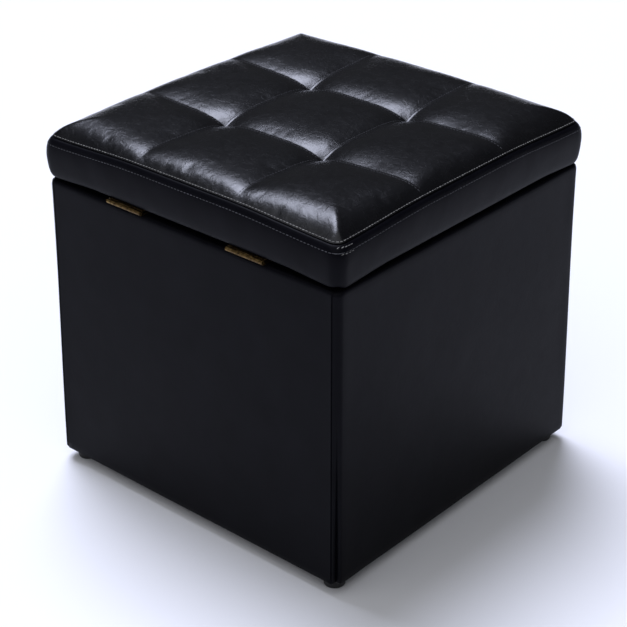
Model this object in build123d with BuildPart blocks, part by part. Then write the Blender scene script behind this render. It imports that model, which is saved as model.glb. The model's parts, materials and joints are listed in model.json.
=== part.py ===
from build123d import *
import os

os.makedirs("parts", exist_ok=True)

# Storage ottoman: an upholstered box with a tufted, hinged lid. Millimetres, +Z up.
# The origin is on the floor under the middle of the box. The hinges are on the +Y side.

# Sheet goods
leather = 1.0
sheet_foam = 3.0
board = 10.0
lining = 0.8
lid_lining = 0.6
dust_cloth = 0.6

# Box
box_side = 392.0  # across the leather
box_corner = 8.0  # radius of the upright corners, outside the leather
box_top = 338.5
foot_height = 11.4
rim_skirt = 16.0  # leather turned down inside the rim
side_seam = 189.0  # the side panels wrap round the corners and end here
bag_drop = 5.0  # from the rim's board to the top of the lining
dust_cloth_half = 190.0

# Feet
foot_place = 180.0
foot_radius = 12.0
foot_tip_radius = 11.0
foot_edge = 2.0
foot_recess_radius = 4.5
foot_recess_depth = 5.0

# Lid
lid_gap = 5.4  # between the box's rim and the lid
lid_corner = 12.0
lid_low_half = 196.0
lid_bulge_half = 200.0
lid_bulge_rise = 20.0  # rises are measured from the lid's underside
lid_seam_half = 193.5
lid_seam_rise = 46.0
lid_shoulder_half = 186.0
lid_shoulder_rise = 54.6
lid_crown_half = 162.0
lid_crown_rise = 60.1
lid_board_half = 193.0
tuft_place = 66.0  # the tufts are where the three by three squares meet
tuft_rise = 47.5
dimple_radius = 40.0
tie_radius = 0.6
tie_hole_radius = 1.0
tie_clearance = 0.5  # from the end of a tie to the leather over it
washer_radius = 4.0
lid_lining_half = 179.0

# Hinges
hinge_length = 47.0
hinge_place = 81.5  # from the middle of the box, along X
hinge_axis_y = 197.3
knuckle_radius = 2.2
end_knuckle = 13.4
knuckle_gap = 0.4
pin_radius = 1.1
pin_clearance = 0.05
leaf_thickness = 1.0
leaf_inner_y = 182.5
leaf_edge_y = 195.2  # clear of the other leaf's knuckles
hinge_screw_y = 188.5
hinge_screw_x = 15.0

# Fasteners
screw_radius = 1.5
screw_head_radius = 2.5
screw_head_depth = 1.0
screw_length = 12.0
screw_point = 2.0
screw_tip_radius = 0.3
screw_recess_length = 3.25
screw_recess_width = 0.5
foot_screw_radius = 1.75
foot_screw_head = 4.0
foot_screw_head_height = 2.4
foot_screw_length = 15.0
foot_screw_slot = 0.8
foot_screw_slot_depth = 1.0
nail_radius = 1.0
nail_length = 32.0
nail_heights = (60.0, 180.0, 300.0)
base_nail_places = (-100.0, 100.0)  # along each wall
staple_width = 10.0
staple_wire = 0.5
staple_depth = 1.2
staple_leg = 8.0
dust_staple_line = 187.0  # from the middle of the box
dust_staple_places = (-130.0, -65.0, 0.0, 65.0, 130.0)
bag_staple_drop = 5.0  # below the top of the lining
bag_staple_places = (-150.0, -75.0, 0.0, 75.0, 150.0)
lid_staple_line = 176.0
lid_staple_places = (-150.0, -50.0, 50.0, 150.0)

# Worked out from the above
box_half = box_side / 2
box_base = foot_height + dust_cloth
leather_inner = box_half - leather
board_outer = leather_inner - sheet_foam
board_inner = board_outer - board
base_low = box_base + leather
wall_low = base_low + board
wall_high = box_top - leather
bag_top = wall_high - bag_drop
skirt_inner = board_inner - leather
board_corner = box_corner - leather - sheet_foam
lid_low = box_top + lid_gap
lid_board_low = lid_low + leather
lid_board_high = lid_board_low + board
lid_bulge_height = lid_low + lid_bulge_rise
lid_seam_height = lid_low + lid_seam_rise
lid_shoulder_height = lid_low + lid_shoulder_rise
lid_crown = lid_low + lid_crown_rise
tuft_height = lid_low + tuft_rise
lining_low = lid_low - lid_lining
hinge_axis_z = box_top + lid_gap / 2
dimple_centre = tuft_height + dimple_radius
far = 260.0  # past every outside face
bottom_up = (Align.CENTER, Align.CENTER, Align.MIN)
tuft_places = [(x, y) for x in (-tuft_place, tuft_place) for y in (-tuft_place, tuft_place)]


def save(block, name):
    block.part.label = name
    export_step(block.part, f"parts/{name}.step")


def side_plane(turn, along, outward, height, points_out=False):
    """A plane on one of the four sides: turn 0 is the back, and the rest follow anticlockwise."""
    out_dir = Vector(0, 1, 0).rotate(Axis.Z, turn)
    along_dir = Vector(1, 0, 0).rotate(Axis.Z, turn)
    origin = along_dir * along + out_dir * outward + Vector(0, 0, height)
    return Plane(origin=origin, x_dir=along_dir, z_dir=out_dir if points_out else (0, 0, 1))


def cut_panel(whole, outline, turn):
    """The stretch of a whole shell that stands over one outline, turned about Z."""
    with BuildPart() as panel:
        add(whole)
        with BuildSketch(Plane.XY.rotated((0, 0, turn))):
            with BuildLine():
                Polyline(*outline, close=True)
            make_face()
        extrude(amount=lid_crown + far, mode=Mode.INTERSECT)
    return panel


def staples(planes):
    """Staples with their crowns on the planes and their legs along the planes' normals."""
    leg_place = (staple_width - staple_wire) / 2
    with BuildPart() as group:
        for plane in planes:
            with BuildSketch(plane):
                Rectangle(staple_width, staple_depth)
            extrude(amount=staple_wire)
            with BuildSketch(plane):
                with Locations((-leg_place, 0), (leg_place, 0)):
                    Rectangle(staple_wire, staple_depth)
            extrude(amount=staple_leg)
    return group


def countersunk_screws(planes):
    """Cross-recessed screws with their heads on the planes, driven along the planes' normals."""
    with BuildPart() as group:
        with Locations(*planes):
            Cylinder(screw_radius, screw_length - screw_point, align=bottom_up)
            Cone(screw_head_radius, screw_radius, screw_head_depth, align=bottom_up)
            slot = (screw_recess_width, screw_recess_width)
            Box(screw_recess_length, *slot, align=bottom_up, mode=Mode.SUBTRACT)
            Box(slot[0], screw_recess_length, slot[1], align=bottom_up, mode=Mode.SUBTRACT)
        points = [plane.offset(screw_length - screw_point) for plane in planes]
        with Locations(*points):
            Cone(screw_radius, screw_tip_radius, screw_point, align=bottom_up)
    return group


# Carcass: a full base board, the end walls on it, and the side walls between the end walls

with BuildPart() as base_board:
    with BuildSketch(Plane.XY.offset(base_low)):
        RectangleRounded(2 * board_outer, 2 * board_outer, board_corner)
    extrude(amount=board)
save(base_board, "base_board")

for name, y_side in (("front_board", -1), ("back_board", 1)):
    with BuildPart() as end_board:
        with BuildSketch(Plane.XY.offset(wall_low)):
            with Locations((0, y_side * (board_outer - board / 2))):
                Rectangle(2 * board_outer, board)
        extrude(amount=wall_high - wall_low)
        outer_edges = end_board.edges().filter_by(Axis.Z).sort_by(Axis.Y, reverse=y_side > 0)[:2]
        fillet(outer_edges, board_corner)
    save(end_board, name)

for name, x_side in (("left_board", -1), ("right_board", 1)):
    with BuildPart() as side_board:
        with BuildSketch(Plane.XY.offset(wall_low)):
            with Locations((x_side * (board_outer - board / 2), 0)):
                Rectangle(board, 2 * board_inner)
        extrude(amount=wall_high - wall_low)
    save(side_board, name)

# Nails: through the end walls into the side walls, and up through the base into the walls

with BuildPart() as carcass_nails:
    for turn in (0, 180):
        for along in (-(board_outer - board / 2), board_outer - board / 2):
            for height in nail_heights:
                with BuildSketch(side_plane(turn, along, board_outer, height, points_out=True)):
                    Circle(nail_radius)
                extrude(amount=-nail_length)
    for turn in (0, 90, 180, 270):
        for along in base_nail_places:
            with BuildSketch(side_plane(turn, along, board_outer - board / 2, base_low)):
                Circle(nail_radius)
            extrude(amount=nail_length)
save(carcass_nails, "carcass_nails")

# Sheet foam round the walls, in four sheets

with BuildPart() as foam_sleeve:
    with BuildSketch(Plane.XY.offset(base_low)):
        RectangleRounded(2 * leather_inner, 2 * leather_inner, box_corner - leather)
        RectangleRounded(2 * board_outer, 2 * board_outer, board_corner, mode=Mode.SUBTRACT)
    extrude(amount=wall_high - base_low)

# Leather sleeve: up the walls, over the rim, down inside it, and turned under the base

with BuildPart() as leather_sleeve:
    with BuildSketch(Plane.XY.offset(box_base)):
        RectangleRounded(box_side, box_side, box_corner)
    extrude(amount=box_top - box_base)
    with BuildSketch(Plane.XY.offset(base_low)):
        RectangleRounded(2 * leather_inner, 2 * leather_inner, box_corner - leather)
    extrude(amount=wall_high - base_low, mode=Mode.SUBTRACT)
    with BuildSketch(Plane.XY.offset(wall_high - rim_skirt)):
        Rectangle(2 * board_inner, 2 * board_inner)
    extrude(amount=rim_skirt)
    with BuildSketch(Plane.XY.offset(wall_high - rim_skirt)):
        Rectangle(2 * skirt_inner, 2 * skirt_inner)
    extrude(amount=far, mode=Mode.SUBTRACT)
    with BuildSketch(Plane.XY.offset(box_base)):
        Rectangle(2 * board_inner, 2 * board_inner)
    extrude(amount=leather, mode=Mode.SUBTRACT)

end_outline = [
    (0, 0),
    (side_seam, side_seam),
    (side_seam, far),
    (-side_seam, far),
    (-side_seam, side_seam),
]
side_outline = [
    (0, 0),
    (side_seam, -side_seam),
    (side_seam, -far),
    (far, -far),
    (far, far),
    (side_seam, far),
    (side_seam, side_seam),
]
box_sides = (
    ("back", end_outline, 0),
    ("front", end_outline, 180),
    ("right", side_outline, 0),
    ("left", side_outline, 180),
)
for name, outline, turn in box_sides:
    save(cut_panel(foam_sleeve.part, outline, turn), f"{name}_foam_sheet")
    save(cut_panel(leather_sleeve.part, outline, turn), f"{name}_cover")

# Lining: an open bag on the base board, up to just under the rim

with BuildPart() as storage_lining:
    with BuildSketch(Plane.XY.offset(wall_low)):
        Rectangle(2 * skirt_inner, 2 * skirt_inner)
    extrude(amount=bag_top - wall_low)
    with BuildSketch(Plane.XY.offset(wall_low + lining)):
        Rectangle(2 * (skirt_inner - lining), 2 * (skirt_inner - lining))
    extrude(amount=bag_top - wall_low, mode=Mode.SUBTRACT)
save(storage_lining, "storage_lining")

# Dust cloth under the box, over the turned leather

with BuildPart() as dust_cover:
    with BuildSketch(Plane.XY.offset(foot_height)):
        RectangleRounded(2 * dust_cloth_half, 2 * dust_cloth_half, board_corner)
    extrude(amount=dust_cloth)
save(dust_cover, "dust_cover")

quarters = (0, 90, 180, 270)
base_staples = staples(
    [
        side_plane(turn, along, dust_staple_line, foot_height - staple_wire)
        for turn in quarters
        for along in dust_staple_places
    ]
)
save(base_staples, "base_staples")

bag_face = skirt_inner - lining - staple_wire
bag_staple_height = bag_top - bag_staple_drop
lining_staples = staples(
    [
        side_plane(turn, along, bag_face, bag_staple_height, points_out=True)
        for turn in quarters
        for along in bag_staple_places
    ]
)
save(lining_staples, "lining_staples")

# Feet: moulded glides, each held by one screw in a recess

foot_spots = (
    ("front_left_foot", -foot_place, -foot_place),
    ("front_right_foot", foot_place, -foot_place),
    ("back_left_foot", -foot_place, foot_place),
    ("back_right_foot", foot_place, foot_place),
)
for name, x, y in foot_spots:
    with BuildPart() as foot:
        with Locations((x, y, 0)):
            Cone(foot_tip_radius, foot_radius, foot_height, align=bottom_up)
        fillet(foot.edges().filter_by(GeomType.CIRCLE).sort_by(Axis.Z)[0], foot_edge)
        with Locations(Plane(origin=(x, y, 0), z_dir=(0, 0, -1))):
            CounterBoreHole(foot_screw_radius, foot_recess_radius, foot_recess_depth)
    save(foot, name)

with BuildPart() as foot_screws:
    with Locations(*[(x, y, foot_recess_depth) for _, x, y in foot_spots]):
        Cylinder(foot_screw_radius, foot_screw_length, align=bottom_up)
    with Locations(*[(x, y, foot_recess_depth - foot_screw_head_height) for _, x, y in foot_spots]):
        Cylinder(foot_screw_head, foot_screw_head_height, align=bottom_up)
        slot = (foot_screw_slot, foot_screw_slot_depth)
        Box(foot_screw_head, *slot, align=bottom_up, mode=Mode.SUBTRACT)
        Box(slot[0], foot_screw_head, slot[1], align=bottom_up, mode=Mode.SUBTRACT)
save(foot_screws, "foot_screws")

# Lid: board, foam block with four tufted dimples, and the sewn leather cover


def lid_form(sections, dimple):
    """A rounded square block through the sections, with a round dimple over each tuft."""
    with BuildPart() as form:
        for height, half in sections:
            with BuildSketch(Plane.XY.offset(height)):
                RectangleRounded(2 * half, 2 * half, lid_corner)
        loft(ruled=True)
        with Locations(*[(x, y, dimple_centre) for x, y in tuft_places]):
            Sphere(dimple, mode=Mode.SUBTRACT)
    return form.part


outside_sections = [
    (lid_low, lid_low_half),
    (lid_bulge_height, lid_bulge_half),
    (lid_seam_height, lid_seam_half),
    (lid_shoulder_height, lid_shoulder_half),
    (lid_crown, lid_crown_half),
]
inside_sections = [
    (lid_board_low, lid_low_half - leather),
    (lid_bulge_height, lid_bulge_half - leather),
    (lid_seam_height, lid_seam_half - leather),
    (lid_shoulder_height - leather, lid_shoulder_half - leather),
    (lid_crown - leather, lid_crown_half - leather),
]
lid_outside = lid_form(outside_sections, dimple_radius)
lid_inside = lid_form(inside_sections, dimple_radius + leather)

with BuildPart() as lid_board:
    with BuildSketch(Plane.XY.offset(lid_board_low)):
        RectangleRounded(2 * lid_board_half, 2 * lid_board_half, lid_corner)
    extrude(amount=board)
save(lid_board, "lid_board")

with BuildPart() as lid_foam:
    add(lid_inside)
    with BuildSketch(Plane.XY.offset(lid_board_high)):
        Rectangle(2 * far, 2 * far)
    extrude(amount=-far, mode=Mode.SUBTRACT)
    with BuildSketch(Plane.XY.offset(lid_board_high)):
        with Locations(*tuft_places):
            Circle(tie_hole_radius)
    extrude(amount=far, mode=Mode.SUBTRACT)
save(lid_foam, "lid_foam")

with BuildPart() as lid_shell:
    add(lid_outside)
    add(lid_inside, mode=Mode.SUBTRACT)
    with BuildSketch(Plane.XY.offset(lid_low)):
        Rectangle(2 * board_inner, 2 * board_inner)
    extrude(amount=leather, mode=Mode.SUBTRACT)

with BuildPart() as top_shell:
    add(lid_shell.part)
    with BuildSketch(Plane.XY.offset(lid_seam_height)):
        Rectangle(2 * far, 2 * far)
    extrude(amount=far, mode=Mode.INTERSECT)

with BuildPart() as band_shell:
    add(lid_shell.part)
    with BuildSketch(Plane.XY.offset(lid_seam_height)):
        Rectangle(2 * far, 2 * far)
    extrude(amount=-far, mode=Mode.INTERSECT)

band_outline = [(0, 0), (far, far), (-far, far)]
for name, turn in (("back", 0), ("left", 90), ("front", 180), ("right", 270)):
    save(cut_panel(band_shell.part, band_outline, turn), f"lid_{name}_band")

columns = (("left", -far, -tuft_place), ("middle", -tuft_place, tuft_place), ("right", tuft_place, far))
rows = (("front", -far, -tuft_place), ("centre", -tuft_place, tuft_place), ("back", tuft_place, far))
for row, low_y, high_y in rows:
    for column, low_x, high_x in columns:
        square = [(low_x, low_y), (high_x, low_y), (high_x, high_y), (low_x, high_y)]
        save(cut_panel(top_shell.part, square, 0), f"top_square_{row}_{column}")

# Tuft ties: twine from under each tuft, through the foam and board, to a washer

tie_length = tuft_height - leather - tie_clearance - lid_low
with BuildPart() as tuft_ties:
    with Locations(*[(x, y, lid_low) for x, y in tuft_places]):
        Cylinder(washer_radius, leather, align=bottom_up)
        Cylinder(tie_radius, tie_length, align=bottom_up)
save(tuft_ties, "tuft_ties")

with BuildPart() as lid_lining_sheet:
    with BuildSketch(Plane.XY.offset(lining_low)):
        Rectangle(2 * lid_lining_half, 2 * lid_lining_half)
    extrude(amount=lid_lining)
save(lid_lining_sheet, "lid_lining")

lid_staples = staples(
    [
        side_plane(turn, along, lid_staple_line, lining_low - staple_wire)
        for turn in quarters
        for along in lid_staple_places
    ]
)
save(lid_staples, "lid_staples")

# Hinges: two butt hinges, the outer knuckles on the box leaf and the middle one on the lid leaf

end_centre = (hinge_length - end_knuckle) / 2
middle_knuckle = hinge_length - 2 * end_knuckle - 2 * knuckle_gap
box_leaf_top = box_top + leaf_thickness
lid_leaf_low = lid_low - leaf_thickness
leaf_clearance = 0.05


def hinge_leaf(centre_x, leaf_low, knuckles, bore, screw_planes):
    """One leaf, flat at leaf_low, with its knuckles on the axis and two countersunk holes."""
    with BuildPart() as leaf:
        with BuildSketch(Plane.XY.offset(leaf_low)):
            with Locations((centre_x, (leaf_inner_y + leaf_edge_y) / 2)):
                Rectangle(hinge_length, leaf_edge_y - leaf_inner_y)
            for centre, length in knuckles:
                with Locations((centre_x + centre, (leaf_edge_y + hinge_axis_y) / 2)):
                    Rectangle(length, hinge_axis_y - leaf_edge_y)
        extrude(amount=leaf_thickness)
        for centre, length in knuckles:
            middle = Plane(origin=(centre_x + centre, hinge_axis_y, hinge_axis_z), z_dir=(1, 0, 0))
            with Locations(middle):
                Cylinder(knuckle_radius, length)
        whole_barrel = Plane(origin=(centre_x, hinge_axis_y, hinge_axis_z), z_dir=(1, 0, 0))
        with Locations(whole_barrel):
            Cylinder(bore, 2 * hinge_length, mode=Mode.SUBTRACT)
        with Locations(*screw_planes):
            head_hole = screw_head_radius + leaf_clearance
            CounterSinkHole(screw_radius + leaf_clearance, head_hole, counter_sink_angle=90)
    return leaf


box_screw_planes = []
lid_screw_planes = []
end_knuckles = [(-end_centre, end_knuckle), (end_centre, end_knuckle)]
for name, centre_x in (("left", -hinge_place), ("right", hinge_place)):
    spots = [(centre_x - hinge_screw_x, hinge_screw_y), (centre_x + hinge_screw_x, hinge_screw_y)]
    box_holes = [Plane(origin=(x, y, box_leaf_top)) for x, y in spots]
    lid_holes = [Plane(origin=(x, y, lid_leaf_low), z_dir=(0, 0, -1)) for x, y in spots]
    box_leaf = hinge_leaf(centre_x, box_top, end_knuckles, pin_radius, box_holes)
    save(box_leaf, f"{name}_hinge_box_leaf")
    lid_knuckle = [(0, middle_knuckle)]
    lid_leaf = hinge_leaf(centre_x, lid_leaf_low, lid_knuckle, pin_radius + pin_clearance, lid_holes)
    save(lid_leaf, f"{name}_hinge_lid_leaf")
    with BuildPart() as hinge_pin:
        with Locations(Plane(origin=(centre_x, hinge_axis_y, hinge_axis_z), z_dir=(1, 0, 0))):
            Cylinder(pin_radius, hinge_length)
    save(hinge_pin, f"{name}_hinge_pin")
    box_screw_planes += [Plane(origin=(x, y, box_leaf_top), z_dir=(0, 0, -1)) for x, y in spots]
    lid_screw_planes += [Plane(origin=(x, y, lid_leaf_low), z_dir=(0, 0, 1)) for x, y in spots]

save(countersunk_screws(box_screw_planes), "hinge_box_screws")
save(countersunk_screws(lid_screw_planes), "hinge_lid_screws")
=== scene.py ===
import json
import math

import bmesh
import bpy
from mathutils import Matrix, Vector, noise
from mathutils.bvhtree import BVHTree


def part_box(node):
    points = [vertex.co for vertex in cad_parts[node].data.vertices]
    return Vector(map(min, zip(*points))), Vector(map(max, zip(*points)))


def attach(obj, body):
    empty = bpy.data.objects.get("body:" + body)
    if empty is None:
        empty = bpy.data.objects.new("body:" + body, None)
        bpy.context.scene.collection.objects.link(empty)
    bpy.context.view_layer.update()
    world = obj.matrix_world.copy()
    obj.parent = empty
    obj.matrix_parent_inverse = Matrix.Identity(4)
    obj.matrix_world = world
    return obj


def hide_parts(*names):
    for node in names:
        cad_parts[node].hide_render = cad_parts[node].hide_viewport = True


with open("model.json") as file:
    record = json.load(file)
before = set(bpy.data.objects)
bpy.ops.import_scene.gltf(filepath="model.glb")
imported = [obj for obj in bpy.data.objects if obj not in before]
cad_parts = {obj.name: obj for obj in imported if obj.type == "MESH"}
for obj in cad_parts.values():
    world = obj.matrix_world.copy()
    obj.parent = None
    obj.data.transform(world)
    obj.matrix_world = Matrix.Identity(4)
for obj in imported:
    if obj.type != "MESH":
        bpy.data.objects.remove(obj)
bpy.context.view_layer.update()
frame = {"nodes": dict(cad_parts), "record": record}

mm = 0.001


def clearSelection():
    if bpy.context.object and bpy.context.object.mode != "OBJECT":
        bpy.ops.object.mode_set(mode="OBJECT")
    bpy.ops.object.select_all(action="DESELECT")


def makeActive(piece):
    clearSelection()
    piece.select_set(True)
    bpy.context.view_layer.objects.active = piece


def applyAll(piece):
    # modifiers first to last, then place, turn and size go into the mesh
    makeActive(piece)
    for modifier in list(piece.modifiers):
        bpy.ops.object.modifier_apply(modifier=modifier.name)
    bpy.ops.object.transform_apply(location=True, rotation=True, scale=True)


def addModifier(piece, kind, **settings):
    modifier = piece.modifiers.new(kind.lower(), kind)
    for key, value in settings.items():
        setattr(modifier, key, value)
    return modifier


def smooth(piece, angle=40):
    makeActive(piece)
    bpy.ops.object.shade_smooth_by_angle(angle=math.radians(angle))


def recalculate(piece):
    makeActive(piece)
    bpy.ops.object.mode_set(mode="EDIT")
    bpy.ops.mesh.select_all(action="SELECT")
    bpy.ops.mesh.remove_doubles(threshold=0.00002)
    bpy.ops.mesh.normals_make_consistent(inside=False)
    bpy.ops.object.mode_set(mode="OBJECT")


def ramp(value, low, high):
    # 0 below low, 1 above high, smooth between
    t = min(max((value - low) / (high - low), 0), 1)
    return t * t * (3 - 2 * t)


def nearSide(value, half, reach):
    # 0 further from a side than the first distance in reach, 1 nearer than the second
    return ramp(value, half - reach[0], half - reach[1])


def hexColour(text):
    # sRGB hex to the linear colour that the shader takes
    channels = [int(text[i:i + 2], 16) / 255 for i in (1, 3, 5)]
    linear = [c / 12.92 if c <= 0.04045 else ((c + 0.055) / 1.055) ** 2.4 for c in channels]
    return (*linear, 1)


def addNode(material, kind, links=None, **settings):
    # settings are sockets where the name is one, and properties where it isn't
    node = material.node_tree.nodes.new(kind)
    for key, value in settings.items():
        if hasattr(node, key):
            setattr(node, key, value)
        else:
            node.inputs[key.replace("_", " ")].default_value = value
    for socket, source in (links or {}).items():
        material.node_tree.links.new(source, node.inputs[socket])
    return node


def startMaterial(name, **surface):
    material = bpy.data.materials.new(name)
    material.use_nodes = True
    shader = material.node_tree.nodes["Principled BSDF"]
    for key, value in surface.items():
        shader.inputs[key.replace("_", " ")].default_value = value
    place = addNode(material, "ShaderNodeTexCoord").outputs["Object"]
    return material, shader, place


def connect(material, source, socket):
    material.node_tree.links.new(source, socket)


def perMetre(millimetres):
    # a texture scale whose pattern repeats about every so many millimetres
    return 1000 / millimetres


def colourRamp(material, factor, stops):
    node = addNode(material, "ShaderNodeValToRGB", {"Fac": factor})
    elements = node.color_ramp.elements
    while len(elements) < len(stops):
        elements.new(0.5)
    for element, (position, colour) in zip(elements, stops):
        element.position = position
        element.color = hexColour(colour)
    return node.outputs["Color"]


def valueRange(material, value, low, high):
    return addNode(material, "ShaderNodeMapRange", {"Value": value}, To_Min=low,
                   To_Max=high).outputs["Result"]


def noiseFactor(material, place, millimetres, **settings):
    return addNode(material, "ShaderNodeTexNoise", {"Vector": place}, Scale=perMetre(millimetres),
                   **settings).outputs["Fac"]


def addBump(material, shader, height, strength, millimetres):
    bump = addNode(material, "ShaderNodeBump", {"Height": height}, Strength=strength,
                   Distance=millimetres * mm)
    connect(material, bump.outputs["Normal"], shader.inputs["Normal"])


def leatherMaterial(name, wrinkle, sheenRoughness, gloss, colours):
    # Coated upholstery cloth: a black polyurethane skin, embossed with a fine grain between
    # rollers. The skin gives broad, soft highlights that the grain and small creases break up.
    settings = {"grain": 1.1, "crease": 9, "cloud": 34, "grainHeight": 0.05, "grainStrength": 0.35,
                "creaseHeight": 0.35, "smoother": 0.05, "rougher": 0.08}
    material, shader, place = startMaterial(name, IOR=1.45, Specular_IOR_Level=gloss)
    cloud = noiseFactor(material, place, settings["cloud"], Detail=4.0)
    crease = noiseFactor(material, place, settings["crease"], Detail=6.0, Roughness=0.62, Distortion=0.9)
    grain = addNode(material, "ShaderNodeTexVoronoi", {"Vector": place}, feature="DISTANCE_TO_EDGE",
                    Scale=perMetre(settings["grain"])).outputs["Distance"]
    creaseBump = addNode(material, "ShaderNodeBump", {"Height": crease}, Strength=wrinkle,
                         Distance=settings["creaseHeight"] * mm)
    grainBump = addNode(material, "ShaderNodeBump", {"Height": grain, "Normal": creaseBump.outputs[0]},
                        Strength=settings["grainStrength"], Distance=settings["grainHeight"] * mm)
    connect(material, grainBump.outputs["Normal"], shader.inputs["Normal"])
    connect(material, colourRamp(material, cloud, colours), shader.inputs["Base Color"])
    rough = valueRange(material, crease, sheenRoughness - settings["smoother"],
                       sheenRoughness + settings["rougher"])
    connect(material, rough, shader.inputs["Roughness"])
    return material


topLeather = leatherMaterial("coatedClothTop", 1.0, 0.25, 0.5, [(0.3, "#040406"), (0.7, "#09090b")])
sideLeather = leatherMaterial("coatedClothSides", 0.3, 0.4, 0.062, [(0.3, "#06060a"), (0.7, "#0a0a0f")])


def threadMaterial(name, colours):
    # Spun polyester sewing thread, dyed in the hank; the colours given to each copy also hold painted light
    # and shade. The lie of its fibres gives a faint sheen.
    material, shader, place = startMaterial(name, Roughness=0.55)
    fray = noiseFactor(material, place, 4)
    connect(material, colourRamp(material, fray, colours), shader.inputs["Base Color"])
    return material


# one thread in two copies: the grey copy on the lid's edge is lighter, a painted highlight for the light that
# row catches, and the charcoal copy on the lower row and beside the grooves is darker, painted shade
thread = threadMaterial("threadPaintedHighlight", [(0.35, "#4e4d4a"), (0.7, "#94928c")])
shadedThread = threadMaterial("threadPaintedShade", [(0.35, "#1a1a1d"), (0.7, "#37373c")])


def brassMaterial():
    # Stamped steel with an antique brass plating: warm and worn bright on raised places,
    # browned where hands and cloth don't rub.
    material, shader, place = startMaterial("antiqueBrass", Metallic=1.0)
    patina = noiseFactor(material, place, 3.5, Detail=5.0)
    scratch = noiseFactor(material, place, 0.6, Detail=3.0)
    connect(material, colourRamp(material, patina, [(0.3, "#3a2d1a"), (0.55, "#6a5533"), (0.8, "#96804f")]),
            shader.inputs["Base Color"])
    connect(material, valueRange(material, patina, 0.6, 0.4), shader.inputs["Roughness"])
    addBump(material, shader, scratch, 0.25, 0.05)
    return material


def plasticMaterial():
    # Injection-moulded polypropylene: black, with a fine spark-eroded texture from the mould.
    material, shader, place = startMaterial("mouldedPolypropylene", Base_Color=hexColour("#0d0d0e"))
    speck = noiseFactor(material, place, 0.7, Detail=2.0)
    connect(material, valueRange(material, speck, 0.42, 0.58), shader.inputs["Roughness"])
    addBump(material, shader, speck, 0.3, 0.06)
    return material


def fibreboardMaterial():
    # Medium-density fibreboard, sawn and sanded: matt tan with darker fibre flecks.
    material, shader, place = startMaterial("fibreboard", Roughness=0.8)
    fleck = noiseFactor(material, place, 5, Detail=8.0, Roughness=0.7)
    connect(material, colourRamp(material, fleck, [(0.35, "#8a6a45"), (0.65, "#b4946a")]),
            shader.inputs["Base Color"])
    addBump(material, shader, fleck, 0.3, 0.1)
    return material


def steelMaterial():
    # Zinc-plated steel wire and screws: pale grey metal with a dull, slightly cloudy plating.
    material, shader, place = startMaterial("zincPlatedSteel", Metallic=1.0)
    cloud = noiseFactor(material, place, 1.5, Detail=3.0)
    connect(material, colourRamp(material, cloud, [(0.35, "#8b8d90"), (0.7, "#b9bbbd")]),
            shader.inputs["Base Color"])
    connect(material, valueRange(material, cloud, 0.28, 0.42), shader.inputs["Roughness"])
    return material


def foamMaterial():
    # Slab polyurethane foam: cream, fully matt, with open cells about a millimetre across.
    material, shader, place = startMaterial("polyurethaneFoam", Roughness=0.95)
    cells = addNode(material, "ShaderNodeTexVoronoi", {"Vector": place},
                    Scale=perMetre(1.2)).outputs["Distance"]
    connect(material, colourRamp(material, cells, [(0.2, "#cfc39a"), (0.7, "#efe7c6")]),
            shader.inputs["Base Color"])
    addBump(material, shader, cells, 0.6, 0.3)
    return material


def nonwovenMaterial(name, colours, dimple):
    # Spun-bonded polypropylene cloth: matt, thin, thermally bonded in a grid of small dimples.
    material, shader, place = startMaterial(name, Roughness=0.82)
    turned = addNode(material, "ShaderNodeMapping", {"Vector": place}, Rotation=(0.6, 0.5, 0.78))
    dots = addNode(material, "ShaderNodeTexVoronoi", {"Vector": turned.outputs[0]}, Randomness=0.0,
                   Scale=perMetre(dimple)).outputs["Distance"]
    fibre = noiseFactor(material, place, 3, Detail=6.0)
    connect(material, colourRamp(material, fibre, colours), shader.inputs["Base Color"])
    addBump(material, shader, dots, 0.5, 0.15)
    return material


def twineMaterial():
    # Waxed tufting twine, twisted from flax: a dull straw colour with the twist showing.
    material, shader, place = startMaterial("waxedTwine", Roughness=0.7)
    twist = addNode(material, "ShaderNodeTexWave", {"Vector": place}, bands_direction="DIAGONAL",
                    Scale=perMetre(2.5), Distortion=1.0).outputs["Fac"]
    connect(material, colourRamp(material, twist, [(0.2, "#8d7c58"), (0.8, "#c3b48c")]),
            shader.inputs["Base Color"])
    return material


foam = foamMaterial()
liningCloth = nonwovenMaterial("spunBondedLining", [(0.3, "#121214"), (0.7, "#1c1c1f")], 2.2)
dustCloth = nonwovenMaterial("spunBondedDustCloth", [(0.3, "#0e0e0f"), (0.7, "#18181a")], 1.6)

slotMaterials = {
    "fibreboard": fibreboardMaterial(),
    "black_plastic": plasticMaterial(),
    "zinc_steel": steelMaterial(),
    "antique_brass": brassMaterial(),
    "twine": twineMaterial(),
    "foam": foam,
    "black_leather": sideLeather,
    "nonwoven_lining": liningCloth,
    "dust_cloth": dustCloth,
}
for part in frame["record"]["subparts"]:
    node = frame["nodes"][part["node"]]
    node.data.materials.clear()
    node.data.materials.append(slotMaterials[part["material_slot"]])
print("materials ready")


# Places from the frame, in metres

coverLow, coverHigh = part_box("back_cover")
boxBase, boxTop, boxHalf = coverLow.z, coverHigh.z, coverHigh.y
bandLow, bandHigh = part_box("lid_back_band")
lidLow, seamHeight, bulgeHalf = bandLow.z, bandHigh.z, bandHigh.y
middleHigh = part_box("top_square_centre_middle")[1]
lidCrown, tuftPlace = middleHigh.z, middleHigh.x
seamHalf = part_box("top_square_back_middle")[1].y
wallSides = ("back", "left", "front", "right")
cornerSegments = 8


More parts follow.
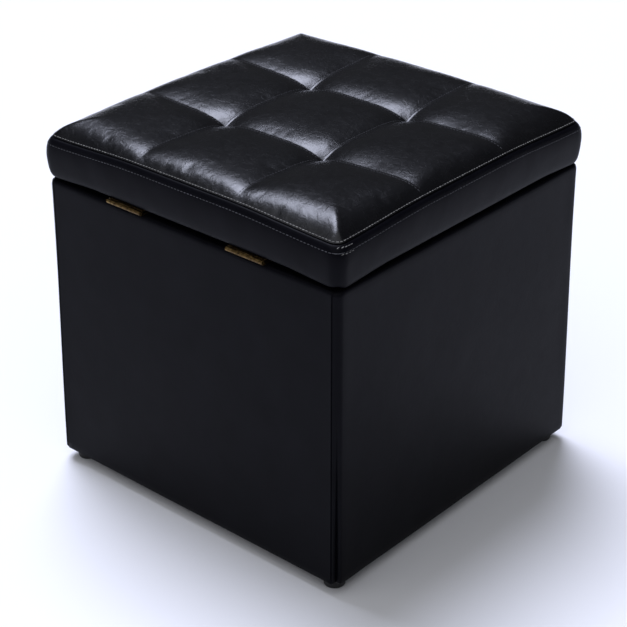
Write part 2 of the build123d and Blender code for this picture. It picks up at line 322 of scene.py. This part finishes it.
def addLoop(half, height, corner, spacing):
    # a rounded square of edges, left in edit mode with all of it selected
    clearSelection()
    bpy.ops.mesh.primitive_plane_add(size=2 * half, location=(0, 0, height))
    piece = bpy.context.object
    bpy.ops.object.transform_apply(location=True, rotation=True, scale=True)
    bpy.ops.object.mode_set(mode="EDIT")
    bpy.ops.mesh.select_all(action="SELECT")
    bpy.ops.mesh.bevel(offset=corner, segments=cornerSegments, affect="VERTICES")
    bpy.ops.mesh.delete(type="ONLY_FACE")
    bpy.ops.mesh.select_all(action="DESELECT")
    mesh = bmesh.from_edit_mesh(piece.data)
    for edge in mesh.edges:
        edge.select_set(edge.calc_length() > half)
    bmesh.update_edit_mesh(piece.data)
    bpy.ops.mesh.subdivide(number_cuts=round(2 * (half - corner) / spacing) - 1)
    bpy.ops.mesh.select_all(action="SELECT")
    return piece


def addSleeve(name, rings, corner, spacing):
    # rings are (half, height) from the first edge to the last, each extruded from the one before
    half, height = rings[0]
    piece = addLoop(half, height, corner, spacing)
    for nextHalf, nextHeight in rings[1:]:
        move = {"value": (0, 0, nextHeight - height)}
        bpy.ops.mesh.extrude_region_move(TRANSFORM_OT_translate=move)
        grow = nextHalf / half
        bpy.ops.transform.resize(value=(grow, grow, 1), center_override=(0, 0, nextHeight))
        half, height = nextHalf, nextHeight
    bpy.ops.mesh.select_all(action="SELECT")
    bpy.ops.mesh.normals_make_consistent(inside=False)
    bpy.ops.object.mode_set(mode="OBJECT")
    piece.name = piece.data.name = name
    return piece


def scoreLine(piece, position, axis):
    # one more row of points across the piece, along a plane
    makeActive(piece)
    bpy.ops.object.mode_set(mode="EDIT")
    bpy.ops.mesh.select_all(action="SELECT")
    bpy.ops.mesh.bisect(plane_co=axis * position, plane_no=axis)
    bpy.ops.object.mode_set(mode="OBJECT")


def softNoise(point, size, seed):
    # smooth noise from about -1 to 1 that changes over a distance of size metres
    return noise.noise(Vector((point[0] / size + seed, point[1] / size, point[2] / size)))


def outline(half, corner, distance):
    # a point at that distance round a rounded square, with its direction and outward normal
    straight = 2 * (half - corner)
    arc = math.pi / 2 * corner
    side, along = divmod(distance, straight + arc)
    turn = Matrix.Rotation(side * math.pi / 2, 3, "Z")
    if along < straight:
        point, forward = Vector((half, along - straight / 2, 0)), Vector((0, 1, 0))
    else:
        angle = (along - straight) / corner
        outward = Vector((math.cos(angle), math.sin(angle), 0))
        point = Vector((half - corner, half - corner, 0)) + outward * corner
        forward = Vector((-outward.y, outward.x, 0))
    return turn @ point, turn @ forward, turn @ Vector((forward.y, -forward.x, 0))


def outlineLength(half, corner):
    return 8 * (half - corner) + 2 * math.pi * corner


seam = {
    "droop": 4.5 * mm,  # how much lower the lid's sewn edge is at a corner than mid-side
    "rise": 1 * mm,  # how far it stands above its own height mid-side
    "straight": 60 * mm,
    "cornerStart": 4 * mm,
}


def seamDroop(x, y):
    # how far below the seam's height the sewn edge lies
    towardCorner = ramp(min(abs(x), abs(y)), seam["straight"], seamHalf - seam["cornerStart"])
    return seam["droop"] * towardCorner - seam["rise"]


# The tufted top: nine leather squares sewn edge to edge over wadding and pulled down at four tufts

top = {
    "cells": (36, 38),  # rows of faces across an outer and across the middle square
    "corner": 11 * mm,
    "crown": lidCrown - seamHeight - 0.3 * mm,
    "grooveDepth": 5.9 * mm,
    "groovePower": 3.9,
    "grooveEnd": 0.5,  # the share of its depth that a groove keeps at the outer edge
    "grooveFade": (4 * mm, 100 * mm),
    "edgeReach": 62 * mm,  # how far in the rounded shoulder of the outer edge goes
    "edgePower": 4.6,
    "tuftDepth": 3.2 * mm,
    "tuftReach": 15 * mm,
    "tuftFolds": 3.2,  # more makes the folds round a tuft narrower
    "pucker": 0.3 * mm,
    # beside each kind of seam: times the pucker, how far it reaches, and where it starts
    "atTuft": (1.6, 20 * mm, (2 * mm, 9 * mm)),
    "atEdge": (1, 10 * mm, (0, 4 * mm)),
    "atGroove": (0.6, 7 * mm, (0, 2 * mm)),
    "wave": 0.3 * mm,
    "droopFade": (2 * mm, 32 * mm),
}


def edgeDistance(x, y):
    # how far a point is inside the rounded outline of the top
    inner = seamHalf - top["corner"]
    overX, overY = max(abs(x) - inner, 0), max(abs(y) - inner, 0)
    if overX > 0 and overY > 0:
        return top["corner"] - math.hypot(overX, overY)
    return seamHalf - max(abs(x), abs(y))


def grooveShape(distance):
    return (1 - min(distance / tuftPlace, 1)) ** top["groovePower"]


def grooveFade(inside):
    return top["grooveEnd"] + (1 - top["grooveEnd"]) * ramp(inside, *top["grooveFade"])


def pucker(kind, distance, unevenness):
    share, reach, start = top[kind]
    return top["pucker"] * share * unevenness * math.exp(-distance / reach) * ramp(distance, *start)


def topHeight(x, y):
    # height of the leather over the seam
    edge = max(edgeDistance(x, y), 0)
    shoulder = 1 - (1 - min(edge / top["edgeReach"], 1)) ** top["edgePower"]
    acrossX, acrossY = abs(abs(x) - tuftPlace), abs(abs(y) - tuftPlace)
    groove, tuft = min(acrossX, acrossY), math.hypot(acrossX, acrossY)
    fadeX, fadeY = grooveFade(seamHalf - abs(x)), grooveFade(seamHalf - abs(y))
    drop = top["grooveDepth"] * (grooveShape(acrossX) * fadeY + grooveShape(acrossY) * fadeX)
    height = (top["crown"] - drop) * shoulder
    height -= top["tuftDepth"] * math.exp(-tuft / top["tuftReach"]) * shoulder
    # small folds: round the tufts, in from the outer edge, and beside the grooves
    bearing = math.atan2(abs(y) - tuftPlace, abs(x) - tuftPlace)
    which = 3 * (x > 0) + 7 * (y > 0)
    folds = top["tuftFolds"]
    fold = noise.noise(Vector((folds * math.cos(bearing) + which, folds * math.sin(bearing), which)))
    spot = (x, y, 0)
    height += pucker("atTuft", tuft, fold)
    height += pucker("atEdge", edge, softNoise(spot, 8 * mm, 5))
    height += pucker("atGroove", groove, softNoise(spot, 7 * mm, 9))
    height += top["wave"] * softNoise(spot, 38 * mm, 2) * shoulder
    return height - seamDroop(x, y) * (1 - ramp(edge, *top["droopFade"]))


def gridLine(step):
    # where row number step lies, so that the grooves fall on rows
    outer, middle = top["cells"]
    if step <= outer:
        return -seamHalf + (seamHalf - tuftPlace) * step / outer
    if step <= outer + middle:
        return -tuftPlace + 2 * tuftPlace * (step - outer) / middle
    return tuftPlace + (seamHalf - tuftPlace) * (step - outer - middle) / outer


def roundCorner(x, y):
    # a square's corner drawn in to the rounded outline
    inner = seamHalf - top["corner"]
    if abs(x) <= inner or abs(y) <= inner:
        return x, y
    p, q = (abs(x) - inner) / top["corner"], (abs(y) - inner) / top["corner"]
    newX = inner + top["corner"] * p * math.sqrt(1 - q * q / 2)
    newY = inner + top["corner"] * q * math.sqrt(1 - p * p / 2)
    return math.copysign(newX, x), math.copysign(newY, y)


def makeTop():
    steps = 2 * top["cells"][0] + top["cells"][1]
    clearSelection()
    bpy.ops.mesh.primitive_grid_add(x_subdivisions=steps, y_subdivisions=steps, size=2)
    piece = bpy.context.object
    piece.name = piece.data.name = "lidTop"
    for vertex in piece.data.vertices:
        x = gridLine(round((vertex.co.x + 1) / 2 * steps))
        y = gridLine(round((vertex.co.y + 1) / 2 * steps))
        x, y = roundCorner(x, y)
        vertex.co = (x, y, seamHeight + topHeight(x, y))
    return piece


sewnCrease = {"sharpness": 0.8, "reach": 1 * mm}
turnIn = ((0.9, 0.7), (2.5, 0.5))  # millimetres inward and down, in two folds


def creaseGrooves(piece):
    # the sewn lines stay sharp when the mesh is subdivided
    makeActive(piece)
    bpy.ops.object.mode_set(mode="EDIT")
    bpy.ops.mesh.select_all(action="DESELECT")
    mesh = bmesh.from_edit_mesh(piece.data)
    for edge in mesh.edges:
        onX = all(abs(abs(end.co.x) - tuftPlace) < sewnCrease["reach"] for end in edge.verts)
        onY = all(abs(abs(end.co.y) - tuftPlace) < sewnCrease["reach"] for end in edge.verts)
        if onX or onY:
            edge.select_set(True)
    bmesh.update_edit_mesh(piece.data)
    bpy.ops.transform.edge_crease(value=sewnCrease["sharpness"])
    bpy.ops.object.mode_set(mode="OBJECT")


def closeTop(piece):
    # the edge turns down and in at the seam, and a flat backing closes the pad
    makeActive(piece)
    bpy.ops.object.mode_set(mode="EDIT")
    bpy.ops.mesh.select_all(action="SELECT")
    bpy.ops.mesh.region_to_loop()
    for inward, down in turnIn:
        bpy.ops.mesh.extrude_region_move(TRANSFORM_OT_translate={"value": (0, 0, -down * mm)})
        shrink = 1 - inward * mm / seamHalf
        bpy.ops.transform.resize(value=(shrink, shrink, 1), center_override=(0, 0, 0))
    bpy.ops.mesh.edge_face_add()
    bpy.ops.object.mode_set(mode="OBJECT")
    recalculate(piece)


pad = {
    "pressure": 4,
    "shrink": -0.001,  # below zero, so the leather is cut a little larger than the form
    "bending": 6,
    "quality": 6,
    "most": 2 * mm,  # how far the pressure may move a point
    "frames": 20,
    "edgeHold": (0.5 * mm, 4 * mm),  # held up to the first distance, free past the second
    "tuftHold": (5 * mm, 12 * mm),
    "grooveHold": (1 * mm, 5 * mm),
}


def swellTop(piece):
    # the leather swells between the seams and tufts that hold it
    held = piece.vertex_groups.new(name="held")
    before = [vertex.co.copy() for vertex in piece.data.vertices]
    for vertex in piece.data.vertices:
        x, y, _ = vertex.co
        acrossX, acrossY = abs(abs(x) - tuftPlace), abs(abs(y) - tuftPlace)
        groove, tuft = min(acrossX, acrossY), math.hypot(acrossX, acrossY)
        grip = max(1 - ramp(edgeDistance(x, y), *pad["edgeHold"]), 1 - ramp(tuft, *pad["tuftHold"]),
                   1 - ramp(groove, *pad["grooveHold"]))
        held.add([vertex.index], grip, "REPLACE")
    cloth = addModifier(piece, "CLOTH")
    fabric = cloth.settings
    fabric.vertex_group_mass = "held"
    fabric.use_pressure = True
    fabric.uniform_pressure_force = pad["pressure"]
    fabric.shrink_min = pad["shrink"]
    fabric.effector_weights.gravity = 0
    fabric.quality = pad["quality"]
    fabric.bending_stiffness = pad["bending"]
    cloth.collision_settings.use_collision = False
    cloth.point_cache.frame_end = pad["frames"]
    for number in range(1, pad["frames"] + 1):
        bpy.context.scene.frame_set(number)
    applyAll(piece)
    bpy.context.scene.frame_set(1)
    for vertex, place in zip(piece.data.vertices, before):
        move = vertex.co - place
        if move.length > pad["most"]:
            vertex.co = place + move.normalized() * pad["most"]
    piece.vertex_groups.clear()


lidTop = makeTop()
swellTop(lidTop)
creaseGrooves(lidTop)
addModifier(lidTop, "SUBSURF", levels=1, render_levels=1)
applyAll(lidTop)
closeTop(lidTop)
lidTop.data.materials.append(topLeather)
smooth(lidTop, 60)
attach(lidTop, "lid")
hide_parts(*[name for name in frame["nodes"] if name.startswith("top_square_")])
print("tufted top made")


# The band round the lid, turned under its board

band = {
    "corner": 12 * mm,
    "spacing": 4 * mm,
    "thickness": 1.0 * mm,
    # millimetres out from the bulge and up from the lid's underside
    "profile": ((-24, 0.6), (-18, 0.6), (-10, 0.6), (-5.8, 1), (-3.4, 2.6), (-2, 5.4), (-1, 10), (-0.4, 16),
                (-0.1, 22), (-0.2, 28), (-0.8, 34), (-1.8, 38.6), (-3, 41.8), (-4.6, 44), (-6.4, 45),
                (-8.8, 44.8)),
    "droopSide": 1.6 * mm,  # the lower edge hangs this far down on the three free sides
    "droopCorner": 3.6 * mm,  # and the folded corners this much further
    "droopHeight": 16 * mm,  # above this height none of it is left
    "wave": 0.5 * mm,
    "ripple": 0.25 * mm,
    "rim": (14 * mm, 5 * mm),
    "hingeSide": (16 * mm, 8 * mm),
    "ends": (80 * mm, 8 * mm),
}


def shapeBand(piece):
    # the lower edge hangs, the upper edge follows the seam, and the faces sink in uneven waves
    for vertex in piece.data.vertices:
        x, y, z = vertex.co
        low = 1 - ramp(z - lidLow, 0, band["droopHeight"])
        onHingeSide = nearSide(y, bulgeHalf, band["hingeSide"])
        nearEnd = nearSide(min(abs(x), abs(y)), bulgeHalf, band["ends"])
        droop = band["droopSide"] * (1 - onHingeSide) + band["droopCorner"] * nearEnd
        rim = nearSide(max(abs(x), abs(y)), bulgeHalf, band["rim"])
        vertex.co.z -= droop * low * rim + seamDroop(x, y) * ramp(z, lidLow + band["droopHeight"], seamHeight)
        swell = band["wave"] * softNoise(vertex.co, 45 * mm, 4)
        swell += band["ripple"] * softNoise(vertex.co, 14 * mm, 6)
        middle = math.sin(math.pi * min(max((z - lidLow) / (seamHeight - lidLow), 0), 1))
        vertex.co.x -= math.copysign(1, x) * abs(swell) * middle * (abs(x) >= abs(y))
        vertex.co.y -= math.copysign(1, y) * abs(swell) * middle * (abs(y) > abs(x))


rings = [(bulgeHalf + out * mm, lidLow + up * mm) for out, up in band["profile"]]
lidBand = addSleeve("lidBand", rings, band["corner"], band["spacing"])
shapeBand(lidBand)
addModifier(lidBand, "SUBSURF", levels=1, render_levels=1)
addModifier(lidBand, "SOLIDIFY", thickness=band["thickness"], offset=-1)
applyAll(lidBand)
lidBand.data.materials.append(sideLeather)
smooth(lidBand, 60)
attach(lidBand, "lid")
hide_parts(*["lid_%s_band" % side for side in wallSides])
print("lid band made")


# The box's leather, pulled over the rim and turned under the base

cover = {
    "corner": 8 * mm,
    "spacing": 6 * mm,
    "thickness": 0.9 * mm,
    "seam": 188.4 * mm,  # where the side panels, wrapped round the corners, are sewn to the ends
    "seamWidth": 0.9 * mm,
    "seamDepth": 1.5 * mm,
    "fullness": 3.6 * mm,  # the padding settles, so the foot of the box is this much wider
    "wave": 0.4 * mm,
    "ripple": 0.12 * mm,
    "face": (3 * mm, 0.5 * mm),
    "stillCorner": (20 * mm, 9 * mm),  # no waves this near a corner
    "ends": (90 * mm, 10 * mm),
    "rimHeight": 30 * mm,
    "rimRise": 0.8 * mm,  # the rim's leather stands up this much at the corners
    "rimSag": 0.7 * mm,  # and lies this much lower mid-side
    "rows": 52,
    # millimetres out from the wall, and up from the base or from the rim
    "foot": ((-12, 0), (-6, 0), (-2.4, 0.3), (-0.7, 1.5), (0, 4)),
    "rim": ((0, -6), (-0.5, -2.6), (-2, -0.7), (-4.5, 0), (-11, 0), (-14.3, -0.2), (-15.1, -1), (-15.1, -3),
            (-15.1, -17)),
}


def coverRings():
    foot, rim, rows = cover["foot"], cover["rim"], cover["rows"]
    rings = [(boxHalf + out * mm, boxBase + up * mm) for out, up in foot]
    low, high = boxBase + foot[-1][1] * mm, boxTop + rim[0][1] * mm
    rings += [(boxHalf, low + (high - low) * row / rows) for row in range(1, rows)]
    rings += [(boxHalf + out * mm, boxTop + up * mm) for out, up in rim]
    return rings


def shapeCover(piece):
    # the seams sink, the faces wave, the foot is fuller and the rim rises to the corners
    for vertex in piece.data.vertices:
        x, y, z = vertex.co
        outside = nearSide(max(abs(x), abs(y)), boxHalf, cover["face"])
        full = cover["fullness"] * (1 - ramp(z, boxBase - 30 * mm, boxTop)) * outside
        if abs(abs(x) - cover["seam"]) < 0.1 * mm and abs(y) > boxHalf - 6 * mm:
            vertex.co.y -= math.copysign(cover["seamDepth"], y)
        wave = cover["wave"] * (softNoise(vertex.co, 90 * mm, 1) - 0.6)
        wave += cover["ripple"] * softNoise(vertex.co, 20 * mm, 8)
        inner = 1 - nearSide(min(abs(x), abs(y)), boxHalf, cover["stillCorner"])
        if abs(x) > abs(y):
            vertex.co.x += math.copysign(1, x) * wave * outside * inner
        else:
            vertex.co.y += math.copysign(1, y) * wave * outside * inner
        vertex.co.x *= 1 + full / boxHalf
        vertex.co.y *= 1 + full / boxHalf
        atRim = ramp(z, boxTop - cover["rimHeight"], boxTop)
        nearCorner = nearSide(min(abs(x), abs(y)), boxHalf, cover["ends"])
        lift = cover["rimRise"] * nearCorner - cover["rimSag"] * (1 - nearCorner)
        vertex.co.z += atRim * lift * outside


boxCover = addSleeve("boxCover", coverRings(), cover["corner"], cover["spacing"])
for side in (-1, 1):
    for shift in (-cover["seamWidth"], 0, cover["seamWidth"]):
        scoreLine(boxCover, side * (cover["seam"] + shift), Vector((1, 0, 0)))
shapeCover(boxCover)
addModifier(boxCover, "SOLIDIFY", thickness=cover["thickness"], offset=-1)
applyAll(boxCover)
boxCover.data.materials.append(sideLeather)
smooth(boxCover, 50)
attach(boxCover, "box")
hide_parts(*[side + "_cover" for side in wallSides])
print("box cover made")


# What is inside: foam, linings and the cloth under the box

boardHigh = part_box("lid_board")[1].z
bagLow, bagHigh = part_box("storage_lining")
bagFloor, bagTop, bagHalf = bagLow.z, bagHigh.z, bagHigh.x


def fillEnds(piece):
    makeActive(piece)
    bpy.ops.object.mode_set(mode="EDIT")
    bpy.ops.mesh.select_all(action="SELECT")
    bpy.ops.mesh.fill_holes(sides=0)
    bpy.ops.object.mode_set(mode="OBJECT")
    recalculate(piece)


slab = {
    "under": 0.2 * mm,  # clear of the lid's board
    "over": 2.2 * mm,  # clear of the leather
    "corner": band["corner"] - 2 * mm,
    "spacing": 12 * mm,
    # millimetres out from the bulge, and up from the underside or from the top
    "side": ((-4.5, 0), (-2.6, 4), (-2.2, 14), (-3.6, 22)),
    "shoulder": ((-7, -4), (-11, 0)),
}
wallSheet = {
    "inside": 1.8 * mm,  # from the leather's outer face
    "thickness": 1.9 * mm,
    "corner": cover["corner"] - 2 * mm,
    "spacing": 12 * mm,
    "foot": (2, 4),  # millimetres up from the base
    "head": (-6, -4),  # and from the rim
}


def addFoam():
    low, high = boardHigh + slab["under"], seamHeight - slab["over"]
    side = [(bulgeHalf + out * mm, low + up * mm) for out, up in slab["side"]]
    side += [(bulgeHalf + out * mm, high + up * mm) for out, up in slab["shoulder"]]
    block = addSleeve("lidFoam", side, slab["corner"], slab["spacing"])
    fillEnds(block)
    block.data.materials.append(foam)
    smooth(block, 30)
    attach(block, "lid")
    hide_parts("lid_foam")
    # the sheet round the walls, cut short of the rim so that its edge doesn't show
    half = boxHalf - wallSheet["inside"]
    levels = [boxBase + up * mm for up in wallSheet["foot"]] + [boxTop + up * mm for up in wallSheet["head"]]
    wall = addSleeve("wallFoam", [(half, level) for level in levels], wallSheet["corner"],
                     wallSheet["spacing"])
    addModifier(wall, "SOLIDIFY", thickness=wallSheet["thickness"], offset=-1)
    applyAll(wall)
    wall.data.materials.append(foam)
    smooth(wall, 30)
    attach(wall, "box")
    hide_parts(*[side + "_foam_sheet" for side in wallSides])


lining = {
    "corner": 9 * mm,
    "spacing": 7 * mm,
    "thickness": 0.6 * mm,
    "clear": 0.6 * mm,  # from the lining's outer size
    "slack": 1.6 * mm,  # how far the cloth stands off the boards
    "ripple": 0.5 * mm,
    "lift": 0.9 * mm,  # how far the floor lies above the board
    "hem": 12 * mm,
    "wall": (4 * mm, 1 * mm),
    "rows": 44,
    "floorRows": 24,
}


def addStorageLining():
    # walls from the hem down, then rings across the floor to its middle
    half = bagHalf - lining["clear"]
    rows, floorRows, lift = lining["rows"], lining["floorRows"], lining["lift"]
    height = bagTop - bagFloor - 5 * mm
    rings = [(half - 0.9 * mm, bagTop - 0.2 * mm), (half, bagTop - 0.2 * mm)]
    rings += [(half, bagTop - height * (row + 0.6) / rows) for row in range(rows)]
    rings += [(half - 0.4 * mm, bagFloor + 3 * mm), (half - 2.5 * mm, bagFloor + 1 * mm)]
    rings += [((half - 6 * mm) * (1 - row / floorRows), bagFloor + lift) for row in range(floorRows)]
    piece = addSleeve("storageLining", rings, lining["corner"], lining["spacing"])
    fillEnds(piece)
    makeActive(piece)
    bpy.ops.object.mode_set(mode="EDIT")
    # the mouth is opened again
    mesh = bmesh.from_edit_mesh(piece.data)
    for face in mesh.faces:
        face.select_set(len(face.verts) > 12 and face.calc_center_median().z > bagTop - 1 * mm)
    bmesh.update_edit_mesh(piece.data)
    bpy.ops.mesh.delete(type="ONLY_FACE")
    bpy.ops.object.mode_set(mode="OBJECT")
    for vertex in piece.data.vertices:
        x, y, z = vertex.co
        loose = lining["slack"] * (0.55 + 0.45 * softNoise(vertex.co, 70 * mm, 3))
        loose += lining["ripple"] * softNoise((x, y, z * 0.45), 16 * mm, 12)
        wall = nearSide(max(abs(x), abs(y)), half, lining["wall"])
        free = ramp(bagTop - z, lining["hem"], 3 * lining["hem"]) * wall
        if abs(x) > abs(y):
            vertex.co.x -= math.copysign(loose * free, x)
        else:
            vertex.co.y -= math.copysign(loose * free, y)
        vertex.co.z += (1 - wall) * (lift + lift * softNoise(vertex.co, 45 * mm, 7))
    addModifier(piece, "SOLIDIFY", thickness=lining["thickness"], offset=0)
    applyAll(piece)
    piece.data.materials.append(liningCloth)
    smooth(piece, 40)
    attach(piece, "box")
    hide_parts("storage_lining")


def addFlatCloth(name, node, material, body, sag):
    # a stapled sheet that hangs down a little between its edges
    low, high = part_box(node)
    clearSelection()
    cells = 60
    bpy.ops.mesh.primitive_grid_add(x_subdivisions=cells, y_subdivisions=cells, size=high.x - low.x,
                                    location=(0, 0, (low.z + high.z) / 2))
    piece = bpy.context.object
    piece.name = piece.data.name = name
    bpy.ops.object.transform_apply(location=True, rotation=True, scale=True)
    half = high.x
    for vertex in piece.data.vertices:
        inside = half - max(abs(vertex.co.x), abs(vertex.co.y))
        ripple = 0.6 + 0.5 * softNoise(vertex.co, 60 * mm, 1) + 0.25 * softNoise(vertex.co, 14 * mm, 2)
        vertex.co.z -= sag * ripple * ramp(inside, 3 * mm, 45 * mm)
    addModifier(piece, "SOLIDIFY", thickness=high.z - low.z, offset=0)
    applyAll(piece)
    piece.data.materials.append(material)
    smooth(piece, 40)
    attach(piece, body)
    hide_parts(node)


addFoam()
addStorageLining()
addFlatCloth("dustCloth", "dust_cover", dustCloth, "box", 0.8 * mm)
addFlatCloth("lidLining", "lid_lining", liningCloth, "lid", 1.2 * mm)
print("foam and linings made")


# Stitches: one low-poly thread, copied along each sewn line

stitch = {
    "length": 3.3 * mm,
    "width": 0.85 * mm,
    "height": 0.5 * mm,
    "pitch": 3.9 * mm,
    "rise": 0.05 * mm,
    "fromSeam": 1.3 * mm,
    "lowerRow": 7.5 * mm,
    "besideGroove": 2.2 * mm,
    "clearOfTuft": 5 * mm,
    # millimetres under the seam, then where the row starts and stops along the side
    "cornerRows": ((0.8, 190, 182), (3, 192, 178), (8.6, 191, 179)),
}
castFrom = lidCrown + 0.05  # well above the lid
castOutside = 10 * mm


def sewLine(name, places, material, body):
    # places are (point, forward, normal) on the leather's surface
    clearSelection()
    bpy.ops.mesh.primitive_uv_sphere_add(segments=6, ring_count=5, radius=0.5)
    pattern = bpy.context.object
    pattern.rotation_euler = (0, math.pi / 2, 0)
    bpy.ops.object.transform_apply(location=True, rotation=True, scale=True)
    sewn = bmesh.new()
    size = Matrix.Diagonal((stitch["length"], stitch["width"], stitch["height"], 1))
    for point, forward, normal in places:
        across = normal.cross(forward).normalized()
        along = across.cross(normal).normalized()
        turn = Matrix((along, across, normal)).transposed().to_4x4()
        start = len(sewn.verts)
        sewn.from_mesh(pattern.data)
        sewn.verts.ensure_lookup_table()
        place = Matrix.Translation(point + normal * stitch["rise"]) @ turn @ size
        bmesh.ops.transform(sewn, matrix=place, verts=sewn.verts[start:])
    bpy.data.objects.remove(pattern)
    mesh = bpy.data.meshes.new(name)
    sewn.to_mesh(mesh)
    sewn.free()
    piece = bpy.data.objects.new(name, mesh)
    bpy.context.scene.collection.objects.link(piece)
    piece.data.materials.append(material)
    smooth(piece, 180)
    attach(piece, body)


def surfaceOf(piece):
    bpy.context.view_layer.update()
    return BVHTree.FromObject(piece, bpy.context.evaluated_depsgraph_get())


topSurface, bandSurface = surfaceOf(lidTop), surfaceOf(lidBand)


def topPlaces(half, corner):
    # round the top's edge, on the leather below each point
    places = []
    length = outlineLength(half, corner)
    count = round(length / stitch["pitch"])
    for number in range(count):
        point, forward, _ = outline(half, corner, length * number / count)
        hit, normal, _, _ = topSurface.ray_cast(Vector((point.x, point.y, castFrom)), Vector((0, 0, -1)))
        if hit:
            places.append((hit, forward, normal))
    return places


def bandPlaces(height):
    # round the band, on the leather behind each point
    places = []
    half, corner = bulgeHalf + castOutside, band["corner"] + 8 * mm
    length = outlineLength(half, corner)
    count = round(outlineLength(seamHalf, corner) / stitch["pitch"])
    for number in range(count):
        point, forward, outward = outline(half, corner, length * number / count)
        level = height - seamDroop(point.x, point.y)
        hit, normal, _, _ = bandSurface.ray_cast(Vector((point.x, point.y, level)), -outward)
        if hit:
            places.append((hit, forward, normal))
    return places


def groovePlaces(offset):
    # beside each groove, from edge to edge
    places = []
    reach = seamHalf - 5 * mm
    count = round(2 * reach / stitch["pitch"])
    for line in (-tuftPlace, tuftPlace):
        for number in range(count):
            along = -reach + 2 * reach * (number + 0.5) / count
            if abs(abs(along) - tuftPlace) < stitch["clearOfTuft"]:
                continue  # the tuft hides these
            for spot, forward in (((along, line + offset), (1, 0, 0)), ((line + offset, along), (0, 1, 0))):
                start = Vector((*spot, castFrom))
                hit, normal, _, _ = topSurface.ray_cast(start, Vector((0, 0, -1)))
                if hit:
                    places.append((hit, Vector(forward), normal))
    return places


def cornerPlaces():
    # where the lid's thread was started and finished: short rows beside one corner
    places = []
    for drop, first, last in stitch["cornerRows"]:
        level = seamHeight - drop * mm - seamDroop(bulgeHalf, bulgeHalf)
        count = round((first - last) * mm / stitch["pitch"]) + 1
        for number in range(count):
            along = (first + (last - first) * number / max(count - 1, 1)) * mm
            start = Vector((-bulgeHalf - castOutside, along, level))
            hit, normal, _, _ = bandSurface.ray_cast(start, Vector((1, 0, 0)))
            if hit:
                places.append((hit, Vector((0, 1, 0)), normal))
    return places


# the grey thread copy carries a painted highlight, and the charcoal copy on the band's lower row and beside
# the grooves carries painted shade
sewLine("cornerStitches", cornerPlaces(), thread, "lid")
topRow = topPlaces(seamHalf - stitch["fromSeam"], top["corner"] - stitch["fromSeam"])
sewLine("topStitches", topRow, thread, "lid")
sewLine("bandStitches", bandPlaces(seamHeight - stitch["lowerRow"]), shadedThread, "lid")
sewLine("grooveStitches", groovePlaces(stitch["besideGroove"]), shadedThread, "lid")
print("stitches sewn")


# Floor, light and camera

view = {
    "lens": 105.4,  # millimetres, on Blender's 36 mm sensor
    "azimuth": 220.92,
    "elevation": 27.76,
    "distance": 1.973,
    "target": 0.2,
    "shift": (-0.0046, -0.0405),
}


def addCamera():
    azimuth, elevation = math.radians(view["azimuth"]), math.radians(view["elevation"])
    back = Vector((math.sin(azimuth) * math.cos(elevation), -math.cos(azimuth) * math.cos(elevation),
                   math.sin(elevation)))
    bpy.ops.object.camera_add(location=Vector((0, 0, view["target"])) + back * view["distance"])
    camera = bpy.context.object
    camera.rotation_euler = back.to_track_quat("Z", "Y").to_euler()
    camera.data.lens = view["lens"]
    camera.data.shift_x, camera.data.shift_y = view["shift"]
    camera.data.clip_end = 50
    bpy.context.scene.camera = camera


def floorMaterial():
    # Seamless paper sweep: white, matt.
    material, shader, place = startMaterial("paperSweep", Roughness=0.9, Base_Color=hexColour("#f2f2f3"))
    tooth = noiseFactor(material, place, 2)
    addBump(material, shader, tooth, 0.05, 0.1)
    return material


def addFloor():
    clearSelection()
    bpy.ops.mesh.primitive_plane_add(size=30)
    floor = bpy.context.object
    floor.name = "floor"
    floor.data.materials.append(floorMaterial())


def addSun(name, energy, toward, angle, colour):
    # a wide sun stands in for a softbox: toward points at it, and angle is how wide it looks
    bpy.ops.object.light_add(type="SUN", location=toward)
    light = bpy.context.object
    light.name = name
    light.data.energy = energy
    light.data.color = hexColour(colour)[:3]
    light.rotation_euler = Vector(toward).to_track_quat("Z", "Y").to_euler()
    light.data.angle = math.radians(angle)


def addWorld(colour, strength):
    world = bpy.data.worlds.new("studio")
    bpy.context.scene.world = world
    world.use_nodes = True
    background = world.node_tree.nodes["Background"]
    background.inputs["Color"].default_value = hexColour(colour)
    background.inputs["Strength"].default_value = strength


addCamera()
addFloor()
addSun("overheadSoftbox", 3.5, (0.383, -0.2, 0.9), 32, "#e4e9ff")
addSun("frontFill", 1.3, (-0.3, 0.9, 1.6), 90, "#eff1f8")
addWorld("#e9ecf2", 0.06)
bpy.context.scene.view_settings.view_transform = "Standard"
